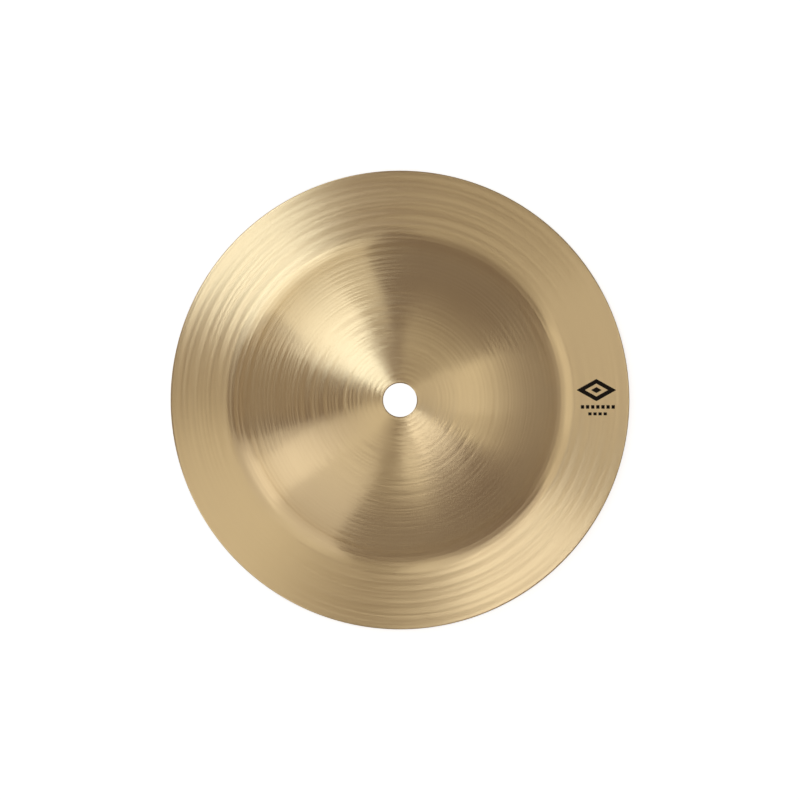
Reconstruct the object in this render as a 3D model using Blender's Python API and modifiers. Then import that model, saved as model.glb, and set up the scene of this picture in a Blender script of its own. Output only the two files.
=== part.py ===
"""Bell cymbal: one piece of cast, pressed and turned bronze, bell up, its flange flat on the ground plane.

One closed profile runs round the wall: out over the seat, dome, cove and flange, round the rim, back
along the underside and up the hole. It is turned about Z. All sizes are in metres.
"""

import math

import bpy

# Overall sizes
DISC_DIAMETER = 0.1524  # six inches across the rim
FLANGE_WIDTH = 0.0174  # level brim, from the end of the cove to the rim
CROWN_HEIGHT = 0.0270  # top of the dome's sphere, above the underside of the flange
COVE_RADIUS = 0.0118  # hollow sweep round the foot of the bell, on the outside
HOLE_DIAMETER = 0.0111  # takes a stand's rod in its sleeve

# The wall, thickest at the crown and thinnest at the rim
CROWN_THICKNESS = 0.0026
FLANGE_ROOT_THICKNESS = 0.0022
FLANGE_EDGE_THICKNESS = 0.0016

# Edges and seats
SEAT_WIDTH = 0.0008  # narrow flat land round the hole, inside and out, where the felts bear
HOLE_CHAMFER = 0.0003
RIM_ROUND = 0.0005
LARGEST_EDGE_SHARE = 0.45  # of the metal's thickness that a round or a chamfer may take

# Tonal grooves, cut on the lathe from the seat out to the rim
GROOVE_DEPTH = 0.00006
CROWN_FEED = 0.0020  # from one groove to the next beside the seat
RIM_FEED = 0.0032  # and at the rim, where the tool travels faster

# Facets
TURN_STEPS = 64
DOME_STEPS = 11
COVE_STEPS = 5
ROUND_STEPS = 3
SEAM_MERGE = 1e-6  # closes the seam of the turn

# Finish
BRONZE_COLOUR = (0.76, 0.585, 0.325, 1.0)
BRONZE_ROUGHNESS = 0.34
BRONZE_ANISOTROPY = 0.75

DISC_RADIUS = DISC_DIAMETER / 2
HOLE_RADIUS = HOLE_DIAMETER / 2
SEAT_RADIUS = HOLE_RADIUS + SEAT_WIDTH
FLANGE_START = DISC_RADIUS - FLANGE_WIDTH
FLANGE_SLOPE = math.atan2(FLANGE_ROOT_THICKNESS - FLANGE_EDGE_THICKNESS, FLANGE_WIDTH)

# Both sides of the wall sweep round one centre, as (radius, height), outside the foot of the bell.
COVE_CENTRE = (
    FLANGE_START + COVE_RADIUS * math.sin(FLANGE_SLOPE),
    FLANGE_ROOT_THICKNESS + COVE_RADIUS * math.cos(FLANGE_SLOPE),
)


def on_circle(centre, radius, slope):
    """The point of a circle whose normal leans this far out from the axis. A hollow has a negative radius."""
    return centre[0] + radius * math.sin(slope), centre[1] + radius * math.cos(slope)


def arc(centre, radius, first_slope, last_slope, steps):
    """Points of a circle from one slope to another, both ends included."""
    slopes = [first_slope + (last_slope - first_slope) * i / steps for i in range(steps + 1)]
    return [on_circle(centre, radius, slope) for slope in slopes]


class WallSide:
    """One side of the wall: a spherical dome, touching a cove, which runs out into the flange."""

    def __init__(self, crown_height, cove_radius, flange_slope):
        self.cove_radius = cove_radius
        self.flange_slope = flange_slope
        # The one sphere that reaches the crown's height and touches the cove's circle
        rise = crown_height - COVE_CENTRE[1]
        self.dome_radius = (COVE_CENTRE[0] ** 2 + rise**2 - cove_radius**2) / (2 * (rise + cove_radius))
        self.dome_centre = (0.0, crown_height - self.dome_radius)
        self.seat_slope = math.asin(SEAT_RADIUS / self.dome_radius)
        self.foot_slope = math.asin(COVE_CENTRE[0] / (self.dome_radius + cove_radius))
        self.dome_length = self.dome_radius * (self.foot_slope - self.seat_slope)
        self.cove_length = cove_radius * (self.foot_slope - flange_slope)

    def seat_height(self):
        """Height of the flat land that is cut across the top of the dome."""
        return on_circle(self.dome_centre, self.dome_radius, self.seat_slope)[1]

    def dome_arc(self):
        """The dome, from its foot up to the seat."""
        return arc(self.dome_centre, self.dome_radius, self.foot_slope, self.seat_slope, DOME_STEPS)

    def cove_arc(self):
        """The cove, from the flange up to the foot of the dome."""
        return arc(COVE_CENTRE, -self.cove_radius, self.flange_slope, self.foot_slope, COVE_STEPS)

    def point(self, distance, depth):
        """The point this far along the side from the seat, and this deep in the metal."""
        past_dome = distance - self.dome_length
        past_cove = past_dome - self.cove_length
        if past_dome < 0:
            slope = self.seat_slope + distance / self.dome_radius
            radius, height = on_circle(self.dome_centre, self.dome_radius, slope)
        elif past_cove < 0:
            slope = self.foot_slope - past_dome / self.cove_radius
            radius, height = on_circle(COVE_CENTRE, -self.cove_radius, slope)
        else:
            slope = self.flange_slope
            radius = FLANGE_START + past_cove * math.cos(slope)
            height = FLANGE_ROOT_THICKNESS - past_cove * math.sin(slope)
        return radius - depth * math.sin(slope), height - depth * math.cos(slope)


def rim_rounds():
    """The rim's upper and lower rounds, and how far out along the flange the upper one starts."""
    size = min(RIM_ROUND, LARGEST_EDGE_SHARE * FLANGE_EDGE_THICKNESS)
    centre_radius = DISC_RADIUS - size
    top_at_centre = FLANGE_ROOT_THICKNESS - (centre_radius - FLANGE_START) * math.tan(FLANGE_SLOPE)
    upper_centre = (centre_radius, top_at_centre - size / math.cos(FLANGE_SLOPE))
    upper = arc(upper_centre, size, FLANGE_SLOPE, math.pi / 2, ROUND_STEPS)
    lower = arc((centre_radius, size), size, math.pi / 2, math.pi, ROUND_STEPS)
    flange_length = (upper[0][0] - FLANGE_START) / math.cos(FLANGE_SLOPE)
    return upper, lower, flange_length


def groove_crests(length):
    """Distances of the crests between grooves, from the seat to the rim, as the tool's feed quickens."""
    crests = [0.0]
    while crests[-1] < length:
        crests.append(crests[-1] + CROWN_FEED + (RIM_FEED - CROWN_FEED) * crests[-1] / length)
    return [crest * length / crests[-1] for crest in crests]


def grooved_side(side, length):
    """The outside, from the seat to the rim's round, with a shallow groove between each two crests."""
    crests = groove_crests(length)
    points = [side.point(crests[0], 0.0)]
    for start, end in zip(crests, crests[1:]):
        points.append(side.point((start + end) / 2, GROOVE_DEPTH))
        points.append(side.point(end, 0.0))
    return points


def wall_profile():
    """The wall's closed section, as (radius, height) points, clockwise from the outer seat."""
    outer = WallSide(CROWN_HEIGHT, COVE_RADIUS, FLANGE_SLOPE)
    inner = WallSide(CROWN_HEIGHT - CROWN_THICKNESS, COVE_CENTRE[1], 0.0)
    upper_round, lower_round, flange_length = rim_rounds()
    outside = grooved_side(outer, outer.dome_length + outer.cove_length + flange_length)
    chamfer = min(HOLE_CHAMFER, LARGEST_EDGE_SHARE * CROWN_THICKNESS)
    top, bottom = outer.seat_height(), inner.seat_height()
    inside = inner.cove_arc()[:-1] + inner.dome_arc()
    hole = [
        (HOLE_RADIUS + chamfer, bottom),
        (HOLE_RADIUS, bottom + chamfer),
        (HOLE_RADIUS, top - chamfer),
        (HOLE_RADIUS + chamfer, top),
    ]
    return outside[:-1] + upper_round + lower_round + inside + hole


def bronze():
    """Turned bronze, whose fine marks run round the axis."""
    material = bpy.data.materials.new("bronze")
    material.use_nodes = True
    shader = material.node_tree.nodes["Principled BSDF"]
    shader.inputs["Base Color"].default_value = BRONZE_COLOUR
    shader.inputs["Metallic"].default_value = 1.0
    shader.inputs["Roughness"].default_value = BRONZE_ROUGHNESS
    shader.inputs["Anisotropic"].default_value = BRONZE_ANISOTROPY
    material.diffuse_color = BRONZE_COLOUR
    return material


def turned(name, profile, material, collection):
    """An object made by turning a closed profile about Z."""
    mesh = bpy.data.meshes.new(name)
    loop = [(i, (i + 1) % len(profile)) for i in range(len(profile))]
    mesh.from_pydata([(radius, 0.0, height) for radius, height in profile], loop, [])
    mesh.materials.append(material)
    obj = bpy.data.objects.new(name, mesh)
    collection.objects.link(obj)
    turn = obj.modifiers.new("Turn", "SCREW")
    turn.axis = "Z"
    turn.angle = math.tau
    turn.steps = turn.render_steps = TURN_STEPS
    turn.use_merge_vertices = True
    turn.merge_threshold = SEAM_MERGE
    turn.use_smooth_shade = True
    flats = obj.modifiers.new("Flat seats", "WEIGHTED_NORMAL")
    flats.mode = "FACE_AREA"
    return obj


def main():
    for obj in list(bpy.data.objects):
        bpy.data.objects.remove(obj, do_unlink=True)
    collection = bpy.data.collections.new("Bell cymbal")
    bpy.context.scene.collection.children.link(collection)
    turned("bell_cymbal", wall_profile(), bronze(), collection)


main()
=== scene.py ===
import math
import random

import bpy
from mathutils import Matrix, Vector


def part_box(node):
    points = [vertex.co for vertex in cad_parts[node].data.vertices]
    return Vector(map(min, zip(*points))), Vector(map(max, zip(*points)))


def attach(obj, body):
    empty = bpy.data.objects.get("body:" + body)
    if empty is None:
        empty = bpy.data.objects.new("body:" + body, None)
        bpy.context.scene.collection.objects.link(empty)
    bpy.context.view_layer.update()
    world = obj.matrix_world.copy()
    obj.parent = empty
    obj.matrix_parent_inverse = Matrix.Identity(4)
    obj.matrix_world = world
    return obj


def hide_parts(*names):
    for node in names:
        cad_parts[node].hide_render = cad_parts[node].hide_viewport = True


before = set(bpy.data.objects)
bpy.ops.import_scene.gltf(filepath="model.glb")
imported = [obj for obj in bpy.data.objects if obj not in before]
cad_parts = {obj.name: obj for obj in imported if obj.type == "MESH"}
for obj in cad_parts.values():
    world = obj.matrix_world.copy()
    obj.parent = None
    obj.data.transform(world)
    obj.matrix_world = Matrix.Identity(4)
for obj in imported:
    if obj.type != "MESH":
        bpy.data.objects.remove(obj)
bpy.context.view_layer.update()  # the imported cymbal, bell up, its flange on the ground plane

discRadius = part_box("bell_cymbal")[1].x
bpy.context.scene.view_settings.view_transform = "Standard"


class Wire:  # a node's socket that Python's operators can work on
    def __init__(self, tree, socket=None):
        self.tree = tree
        self.socket = socket

    def node(self, kind, settings, sockets, output=0):
        made = self.tree.nodes.new(kind)
        for name, value in settings.items():
            if name == "stops":
                self.setStops(made.color_ramp.elements, value)
            else:
                setattr(made, name, value)
        for key, value in sockets.items():
            if isinstance(value, Wire):
                self.tree.links.new(value.socket, made.inputs[key])
            else:
                made.inputs[key].default_value = value
        return Wire(self.tree, made.outputs[output] if made.outputs else None)

    def sibling(self, name):  # another output of the same node
        return Wire(self.tree, self.socket.node.outputs[name])

    def setStops(self, elements, stops):
        for place, colour in stops[len(elements):]:
            elements.new(place)
        for element, (place, colour) in zip(elements, stops):
            element.position, element.color = place, colour

    def maths(self, operation, *values):
        return self.node("ShaderNodeMath", {"operation": operation}, dict(enumerate(values)))

    def __add__(self, other):
        return self.maths("ADD", self, other)

    def __radd__(self, other):
        return self.maths("ADD", other, self)

    def __mul__(self, other):
        return self.maths("MULTIPLY", self, other)

    def __rmul__(self, other):
        return self.maths("MULTIPLY", other, self)

    def __truediv__(self, other):
        return self.maths("DIVIDE", self, other)

    def __rtruediv__(self, other):
        return self.maths("DIVIDE", other, self)


def newMaterial(name):
    material = bpy.data.materials.new(name)
    material.use_nodes = True
    material.node_tree.nodes.clear()
    return material, Wire(material.node_tree)


# Camera, straight over the hole
camera = {
    "lens": 300.0,
    "sensor": 36.0,
    "discShare": 458.8 / 800,  # of the frame's width that the disc spans
    "rimHeight": 0.001,  # where the disc is that wide
}


def placeCamera():
    frameWidth = 2 * discRadius / camera["discShare"]
    height = camera["rimHeight"] + frameWidth * camera["lens"] / camera["sensor"]
    bpy.ops.object.camera_add(location=(0, 0, height), rotation=(0, 0, 0))
    bpy.context.object.data.lens = camera["lens"]
    bpy.context.object.data.sensor_width = camera["sensor"]
    bpy.context.scene.camera = bpy.context.object


placeCamera()
print("camera: placed")


# Floor, world and lamps
def grey(level):
    return level, level, level, 1


studio = {
    "floorSize": 12.0,
    "floorDrop": 0.0002,  # below the flange, so that the two faces stay apart
    "floorColour": grey(0.5),
    "glowReach": 1.5,  # from the axis, for the ramp's whole length
    "floorGlow": [
        (0.0, grey(1.0)), (0.03, grey(1.0)), (0.05, grey(0.755)), (0.09, grey(0.77)),
        (0.25, grey(0.87)), (0.4, grey(0.94)), (0.6, grey(1.0)),
    ],
    "mirroredShare": 0.15,  # of the background's brightness that metal shows
    "worldColour": (1.0, 0.66, 0.54, 1),
    "worldLevel": 0.15,
    "horizonBand": (0.10, 0.16),  # heights of a ray's direction over which the mirrored background ends
    "lampDistance": 0.5,
    "lamps": {  # azimuth, angle from the zenith, half its width and height in degrees, watts, colour
        "right": (10, 38, 14, 15, 0.094, (1.00, 1.00, 0.96)),
        "rightTop": (15, 15, 7, 7, 0.015, (1.00, 1.00, 0.96)),
        "upperRight": (58, 31, 16, 8, 0.096, (1.00, 1.00, 0.84)),
        "keyLow": (124, 65, 22, 23, 0.385, (0.98, 1.00, 0.93)),
        "keyFoot": (146, 86, 13, 12, 0.026, (1.00, 0.85, 0.70)),
        "key": (136, 50, 17, 12, 0.295, (0.81, 0.89, 1.00)),
        "keyTop": (136, 22, 7, 8, 0.200, (0.76, 0.88, 1.00)),
        "leftLow": (169, 64, 18, 20, 0.055, (1.00, 0.85, 0.55)),
        "fillLow": (207, 74, 12, 24, 0.166, (1.00, 1.00, 1.00)),
        "fillTop": (212, 11, 7, 10, 0.080, (1.00, 0.98, 0.84)),
        "fill": (224, 61, 22, 26, 0.384, (1.00, 1.00, 0.99)),
        "front": (253, 40, 24, 8, 0.094, (1.00, 1.00, 0.82)),
        "frontNear": (284, 32, 7, 8, 0.057, (1.00, 1.00, 0.96)),
        "frontTop": (309, 20, 7, 8, 0.134, (1.00, 1.00, 1.00)),
        "side": (359, 40, 20, 8, 0.168, (1.00, 0.97, 0.80)),
    },
}


def seenRays(wire, band=1.0):  # how far a ray shows the background: in full to the camera, less in a mirror
    seen = wire.node("ShaderNodeLightPath", {}, {}, "Is Camera Ray")
    mirrored = wire.maths("MAXIMUM", seen.sibling("Is Glossy Ray"), seen.sibling("Is Transmission Ray"))
    return wire.maths("MAXIMUM", seen, mirrored * studio["mirroredShare"] * band)


def makeFloor():
    material, wire = newMaterial("paleFloor")
    place = wire.node("ShaderNodeTexCoord", {}, {}, "Object")
    fromCentre = wire.node("ShaderNodeVectorMath", {"operation": "LENGTH"}, {0: place}, "Value")
    glow = wire.node("ShaderNodeValToRGB", {"stops": studio["floorGlow"]},
                     {0: fromCentre / studio["glowReach"]})
    white = wire.node("ShaderNodeEmission", {}, {"Color": glow, "Strength": seenRays(wire)})
    lit = wire.node("ShaderNodeBsdfDiffuse", {}, {"Color": studio["floorColour"]})
    both = wire.node("ShaderNodeAddShader", {}, {0: lit, 1: white})
    wire.node("ShaderNodeOutputMaterial", {}, {"Surface": both})
    bpy.ops.mesh.primitive_plane_add(size=studio["floorSize"], location=(0, 0, -studio["floorDrop"]))
    floor = bpy.context.object
    floor.name = "floor"
    floor.data.materials.append(material)


def lightWorld():
    world = bpy.data.worlds.new("studio")
    bpy.context.scene.world = world
    world.use_nodes = True
    world.node_tree.nodes.clear()
    wire = Wire(world.node_tree)
    dim = wire.node("ShaderNodeBackground", {},
                    {"Color": studio["worldColour"], "Strength": studio["worldLevel"]})
    white = wire.node("ShaderNodeBackground", {}, {"Color": (1, 1, 1, 1), "Strength": 1.0})
    ray = wire.node("ShaderNodeTexCoord", {}, {}, "Generated")
    rise = wire.node("ShaderNodeSeparateXYZ", {}, {0: ray}, "Z")
    bandLow, bandHigh = studio["horizonBand"]
    band = wire.node("ShaderNodeMapRange", {}, {0: rise, 1: bandLow, 2: bandHigh, 3: 1.0, 4: 0.0})
    mixed = wire.node("ShaderNodeMixShader", {}, {0: seenRays(wire, band), 1: dim, 2: white})
    wire.node("ShaderNodeOutputWorld", {}, {"Surface": mixed})


def hangLamp(name, azimuth, fromZenith, halfWidth, halfHeight, watts, colour):
    turn, lean, reach = math.radians(azimuth), math.radians(fromZenith), studio["lampDistance"]
    outward = reach * math.sin(lean)
    place = (outward * math.cos(turn), outward * math.sin(turn), reach * math.cos(lean))
    bpy.ops.object.light_add(type="AREA", location=place, rotation=(lean, 0, turn + math.pi / 2))
    lamp = bpy.context.object
    lamp.name = name
    lamp.data.shape = "RECTANGLE"
    lamp.data.size = 2 * reach * math.tan(math.radians(halfWidth))
    lamp.data.size_y = 2 * reach * math.tan(math.radians(halfHeight))
    lamp.data.energy = watts
    lamp.data.color = colour
    lamp.visible_camera = False


makeFloor()
lightWorld()
for lampName, facts in studio["lamps"].items():
    hangLamp(lampName, *facts)
print("studio: floor, world and", len(studio["lamps"]), "lamps")


# The cymbal: its section, point by point, then spun round the axis
cymbal = {
    "crownHeight": 0.0270,  # top of the dome's sphere, which the seat cuts flat
    "coveRadius": 0.0118,
    "flangeWidth": 0.0174,
    "holeRadius": 0.00555,
    "seatWidth": 0.0008,
    "crownWall": 0.0026,
    "rootWall": 0.0022,
    "edgeWall": 0.0016,
    "holeChamfer": 0.0003,
    "rimRound": 0.0005,
    "roundSteps": 5,  # faces across each of the rim's two rounds
    "feed": (0.00145, 0.0018),  # from groove to groove, beside the seat and at the rim
    "feedDrift": 0.4,  # share by which one feed may differ from the next
    "depthShares": (0.3, 1.0),  # of a cut's depth, drawn for each groove
    "evenLay": 0.5,  # halfway between the bronze's two lays
    "outerCut": {"feedTimes": 1.0, "depth": 0.00003, "strengths": (0.2, 1.15), "lays": (0.3, 0.5),
                 "flangeStrength": 0.5, "flangeLay": 0.62, "shares": (0, 0.2, 0.4, 0.6, 0.8)},
    "innerCut": {"feedTimes": 1.6, "depth": -0.00004, "strengths": (0.0, 1.0), "lays": (0.0, 0.5),
                 "flangeStrength": 1.0, "flangeLay": 1.0, "shares": (0, 0.3, 0.7)},
    "seed": 11,
    "turnSteps": 256,
    "seamMerge": 2e-6,
    "sharpAngle": 30,
}
flangeStart = discRadius - cymbal["flangeWidth"]
flangeSlope = math.atan2(cymbal["rootWall"] - cymbal["edgeWall"], cymbal["flangeWidth"])
coveCentre = (flangeStart + cymbal["coveRadius"] * math.sin(flangeSlope),
              cymbal["rootWall"] + cymbal["coveRadius"] * math.cos(flangeSlope))


def onCircle(centre, radius, slope):  # where the normal leans out that far; a hollow has a negative radius
    return centre[0] + radius * math.sin(slope), centre[1] + radius * math.cos(slope)


def arcPoints(centre, radius, first, last, steps):
    return [onCircle(centre, radius, first + (last - first) * i / steps) for i in range(steps + 1)]


class WallSide:  # one side of the wall: dome, cove and flange, measured from the seat outwards
    def __init__(self, crownHeight, coveRadius, slope, flangeHeight, flangeEnd):
        rise = crownHeight - coveCentre[1]
        self.coveRadius = coveRadius
        self.slope = slope
        self.domeRadius = (coveCentre[0] ** 2 + rise ** 2 - coveRadius ** 2) / (2 * (rise + coveRadius))
        self.domeCentre = (0, crownHeight - self.domeRadius)
        self.seatSlope = math.asin((cymbal["holeRadius"] + cymbal["seatWidth"]) / self.domeRadius)
        self.footSlope = math.asin(coveCentre[0] / (self.domeRadius + coveRadius))
        self.domeLength = self.domeRadius * (self.footSlope - self.seatSlope)
        self.coveLength = coveRadius * (self.footSlope - slope)
        self.root = (coveCentre[0] - coveRadius * math.sin(slope), flangeHeight)
        self.length = self.domeLength + self.coveLength + (flangeEnd - self.root[0]) / math.cos(slope)

    def seatHeight(self):
        return onCircle(self.domeCentre, self.domeRadius, self.seatSlope)[1]

    def point(self, distance, depth):  # depth is into the metal: down from the outside, up from the inside
        pastDome = distance - self.domeLength
        pastCove = pastDome - self.coveLength
        if pastDome < 0:
            slope = self.seatSlope + distance / self.domeRadius
            radius, height = onCircle(self.domeCentre, self.domeRadius, slope)
        elif pastCove < 0:
            slope = self.footSlope - pastDome / self.coveRadius
            radius, height = onCircle(coveCentre, -self.coveRadius, slope)
        else:
            slope = self.slope
            radius = self.root[0] + pastCove * math.cos(slope)
            height = self.root[1] - pastCove * math.sin(slope)
        return radius - depth * math.sin(slope), height - depth * math.cos(slope)

    def grooved(self, cut, draw):  # points, each with the crest's strength there and the cut's lay
        crests, drift, even = [0.0], cymbal["feedDrift"], cymbal["evenLay"]
        nearFeed, farFeed = cymbal["feed"]
        while crests[-1] < self.length:
            feed = cut["feedTimes"] * (nearFeed + (farFeed - nearFeed) * crests[-1] / self.length)
            crests.append(crests[-1] + feed * draw.uniform(1 - drift, 1 + drift))
        crests = [crest * self.length / crests[-1] for crest in crests]
        points = []
        for start, end in zip(crests, crests[1:]):
            deepest = cut["depth"] * draw.uniform(*cymbal["depthShares"])
            strength = draw.uniform(*cut["strengths"])
            lay = draw.uniform(*cut["lays"]) * draw.choice((-1, 1))
            if start > self.domeLength + self.coveLength:
                strength, lay = strength * cut["flangeStrength"], lay * cut["flangeLay"]
            for share in cut["shares"]:  # the groove is a parabola, and its two walls lie opposite ways
                place = self.point(start + (end - start) * share, deepest * 4 * share * (1 - share))
                points.append((*place, 0.0 if share else strength, even + (lay if share < 0.5 else -lay)))
        return points + plain([self.point(self.length, 0)])


def plain(points):  # without a crest, and of the even lay
    return [(*point, 0.0, cymbal["evenLay"]) for point in points]


def cymbalSection():
    size, seat = cymbal["rimRound"], cymbal["holeRadius"] + cymbal["holeChamfer"]
    centre = discRadius - size
    topAtCentre = cymbal["rootWall"] - (centre - flangeStart) * math.tan(flangeSlope)
    upper = arcPoints((centre, topAtCentre - size / math.cos(flangeSlope)), size,
                      flangeSlope, math.pi / 2, cymbal["roundSteps"])
    lower = arcPoints((centre, size), size, math.pi / 2, math.pi, cymbal["roundSteps"])
    outer = WallSide(cymbal["crownHeight"], cymbal["coveRadius"], flangeSlope,
                     cymbal["rootWall"], upper[0][0])
    inner = WallSide(cymbal["crownHeight"] - cymbal["crownWall"], coveCentre[1], 0, 0, lower[-1][0])
    draw = random.Random(cymbal["seed"])
    outside = outer.grooved(cymbal["outerCut"], draw)
    inside = inner.grooved(cymbal["innerCut"], draw)
    top, bottom = outer.seatHeight(), inner.seatHeight()
    hole = [(seat, bottom), (cymbal["holeRadius"], bottom + cymbal["holeChamfer"]),
            (cymbal["holeRadius"], top - cymbal["holeChamfer"]), (seat, top)]
    return outside[:-1] + plain(upper + lower) + inside[-2::-1] + plain(hole)


def spinSection(name, section):
    first = section[0]
    bpy.ops.object.select_all(action="DESELECT")
    bpy.ops.mesh.primitive_plane_add(size=0.001, location=(first[0], 0, first[1]))
    spun = bpy.context.object
    spun.name = name
    bpy.ops.object.transform_apply(location=True, rotation=False, scale=False)
    bpy.ops.object.mode_set(mode="EDIT")
    bpy.ops.mesh.select_all(action="SELECT")
    bpy.ops.mesh.merge(type="CENTER")  # the plane becomes the section's first point
    for here, there in zip(section, section[1:] + section[:1]):
        step = (there[0] - here[0], 0, there[1] - here[1])
        bpy.ops.mesh.extrude_region_move(TRANSFORM_OT_translate={"value": step})
    bpy.ops.object.mode_set(mode="OBJECT")
    for column, label in ((2, "crest"), (3, "lay")):
        values = [point[column] for point in section + section[:1]]
        spun.data.attributes.new(label, "FLOAT", "POINT").data.foreach_set("value", values)
    bpy.ops.object.mode_set(mode="EDIT")
    bpy.ops.mesh.select_all(action="SELECT")
    bpy.ops.mesh.spin(steps=cymbal["turnSteps"], angle=math.tau, center=(0, 0, 0), axis=(0, 0, 1))
    bpy.ops.mesh.select_all(action="SELECT")
    bpy.ops.mesh.remove_doubles(threshold=cymbal["seamMerge"])
    bpy.ops.mesh.normals_make_consistent(inside=False)
    bpy.ops.object.mode_set(mode="OBJECT")
    bpy.ops.object.shade_smooth_by_angle(angle=math.radians(cymbal["sharpAngle"]))
    return spun


# Bronze: turned metal, whose shine spreads across the lathe's marks
bronze = {
    "colour": (0.78, 0.62, 0.37, 1),
    "roughness": 0.28,
    "anisotropy": 1.0,
    "lays": (0.274, 0.226),  # the cut marks' turn from the radius: a quarter is along the circle
    "tornRoughness": 0.42,  # on the crests, where the tool tears the metal
    "tornAnisotropy": 0.6,
    "tornLay": 0.25,
    "crestShare": 1.0,  # how torn a crest is
    "layShare": 0.08,  # and a wall, the further its lay goes outward
    "ringCells": (0.5, 260.0, 40.0),  # round the axis, in a metre of radius, and the noise's shift
    "ringRange": (0.42, 0.72),
    "ringShares": (0.0, 0.12),  # faint torn rings besides
    "fadeCells": (0.9, 150.0, 0.0),
    "fadeRange": (0.35, 0.65),
    "fadeShares": (0.45, 1.0),  # crests fade in and out along the circle
}


def polar(wire):  # distance from the axis, and the place's direction from it
    place = wire.node("ShaderNodeTexCoord", {}, {}, "Object")
    x = wire.node("ShaderNodeSeparateXYZ", {}, {0: place}, "X")
    y = x.sibling("Y")
    radius = wire.maths("SQRT", x * x + y * y)
    return radius, x / radius, y / radius


def arcNoise(wire, around, outward, shift):  # noise drawn out into arcs round the axis
    radius, east, north = polar(wire)
    place = wire.node("ShaderNodeCombineXYZ", {},
                      {0: radius * outward + shift, 1: east * around, 2: north * around})
    return wire.node("ShaderNodeTexNoise", {}, {"Vector": place, "Scale": 1.0, "Detail": 0.0}, "Fac")


def mark(wire, name):
    return wire.node("ShaderNodeAttribute", {"attribute_name": name}, {}, "Fac")


def spread(wire, value, low, high, least, most):  # smoothly from least to most as the value rises
    return wire.node("ShaderNodeMapRange", {"interpolation_type": "SMOOTHSTEP"},
                     {0: value, 1: low, 2: high, 3: least, 4: most})


def metal(wire, roughness, anisotropy, turn):
    return wire.node("ShaderNodeBsdfPrincipled", {}, {
        "Base Color": bronze["colour"], "Metallic": 1.0, "Roughness": bronze[roughness],
        "Anisotropic": bronze[anisotropy], "Anisotropic Rotation": turn})


def makeBronze():
    material, wire = newMaterial("turnedBronze")
    fade = spread(wire, arcNoise(wire, *bronze["fadeCells"]), *bronze["fadeRange"], *bronze["fadeShares"])
    rings = spread(wire, arcNoise(wire, *bronze["ringCells"]), *bronze["ringRange"], *bronze["ringShares"])
    lines = mark(wire, "crest") * bronze["crestShare"] + mark(wire, "lay") * bronze["layShare"]
    inward, outward = [metal(wire, "roughness", "anisotropy", turn) for turn in bronze["lays"]]
    cut = wire.node("ShaderNodeMixShader", {}, {0: mark(wire, "lay"), 1: inward, 2: outward})
    torn = metal(wire, "tornRoughness", "tornAnisotropy", bronze["tornLay"])
    both = wire.node("ShaderNodeMixShader", {}, {0: lines * fade + rings, 1: cut, 2: torn})
    wire.node("ShaderNodeOutputMaterial", {}, {"Surface": both})
    return material


shell = spinSection("turnedCymbal", cymbalSection())
shell.data.materials.append(makeBronze())
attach(shell, "root")
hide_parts("bell_cymbal")
print("cymbal:", len(shell.data.polygons), "faces")


# Printed mark: a hollow lozenge round a small solid one, over two rows of dashes
printed = {
    "centre": (0.0652, 0.0033),
    "halfSize": (0.0066, 0.0037),
    "hollow": 0.58,  # of the lozenge's size
    "core": 0.27,
    "rows": [(0.0657, -0.0023, 7, 0.0012), (0.0656, -0.0046, 4, 0.0010)],  # middle, dashes, height
    "dash": (0.0011, 0.0017),  # length, and from one dash to the next
    "cuts": 14,  # of each edge of the lozenge, so that it follows the metal
    "smallCuts": 3,
    "film": 0.00002,  # the ink's height over the metal
    "startHeight": 0.01,
    "colour": (0.006, 0.003, 0.001, 1),
    "shine": 0.12,
    "roughness": (0.42, 0.58),
    "grain": (40.0, 900.0, 3.0),  # round the axis, in a metre of radius, and the noise's shift
}


def aboutPoint(size, x, y):
    bpy.ops.transform.resize(value=(*size, 1), center_override=(x, y, printed["startHeight"]))


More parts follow.
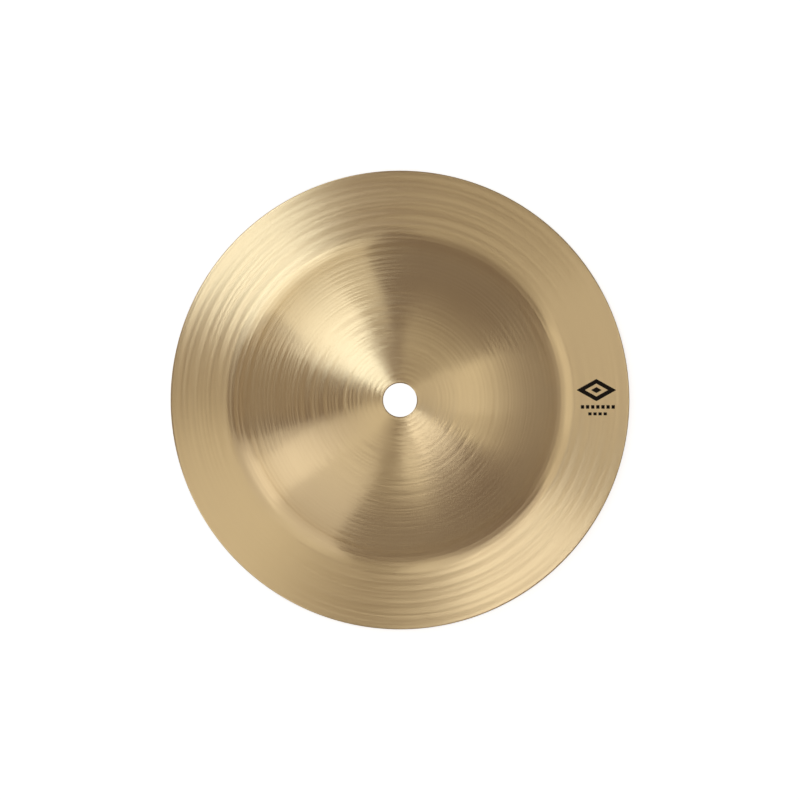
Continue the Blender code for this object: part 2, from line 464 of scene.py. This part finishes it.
def printMark(ground):
    (x, y), height = printed["centre"], printed["startHeight"]
    bpy.ops.object.select_all(action="DESELECT")
    bpy.ops.mesh.primitive_circle_add(vertices=4, radius=1, fill_type="NOTHING", location=(x, y, height))
    film = bpy.context.object
    film.name = "flangeMark"
    bpy.ops.object.transform_apply(location=True, rotation=False, scale=False)
    bpy.ops.object.mode_set(mode="EDIT")
    bpy.ops.mesh.select_all(action="SELECT")
    aboutPoint(printed["halfSize"], x, y)
    bpy.ops.mesh.extrude_region_move()
    aboutPoint((printed["hollow"], printed["hollow"]), x, y)
    bpy.ops.mesh.select_all(action="SELECT")
    bpy.ops.mesh.subdivide(number_cuts=printed["cuts"])
    bpy.ops.mesh.select_all(action="DESELECT")
    bpy.ops.mesh.primitive_circle_add(vertices=4, radius=printed["core"], fill_type="NGON",
                                      location=(x, y, height))
    aboutPoint(printed["halfSize"], x, y)
    bpy.ops.mesh.subdivide(number_cuts=printed["smallCuts"])
    length, pitch = printed["dash"]
    for middle, across, count, tall in printed["rows"]:
        for i in range(count):
            bpy.ops.mesh.select_all(action="DESELECT")
            centre = middle + pitch * (i - (count - 1) / 2)
            bpy.ops.mesh.primitive_plane_add(size=1, location=(centre, across, height))
            aboutPoint((length, tall), centre, across)
            bpy.ops.mesh.subdivide(number_cuts=printed["smallCuts"])
    bpy.ops.mesh.select_all(action="SELECT")
    bpy.ops.mesh.normals_make_consistent(inside=False)
    bpy.ops.object.mode_set(mode="OBJECT")
    laid = film.modifiers.new("onto the metal", "SHRINKWRAP")
    laid.wrap_method, laid.target, laid.offset = "PROJECT", ground, printed["film"]
    laid.use_project_z, laid.use_negative_direction, laid.use_positive_direction = True, True, False
    bpy.ops.object.modifier_apply(modifier=laid.name)
    return film


def makeInk():
    material, wire = newMaterial("blackInk")
    low, high = printed["roughness"]
    rough = low + (high - low) * arcNoise(wire, *printed["grain"])
    ink = wire.node("ShaderNodeBsdfPrincipled", {}, {
        "Base Color": printed["colour"], "Specular IOR Level": printed["shine"], "Roughness": rough})
    wire.node("ShaderNodeOutputMaterial", {}, {"Surface": ink})
    return material


film = printMark(shell)
film.data.materials.append(makeInk())
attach(film, "root")
print("mark:", len(film.data.polygons), "faces")
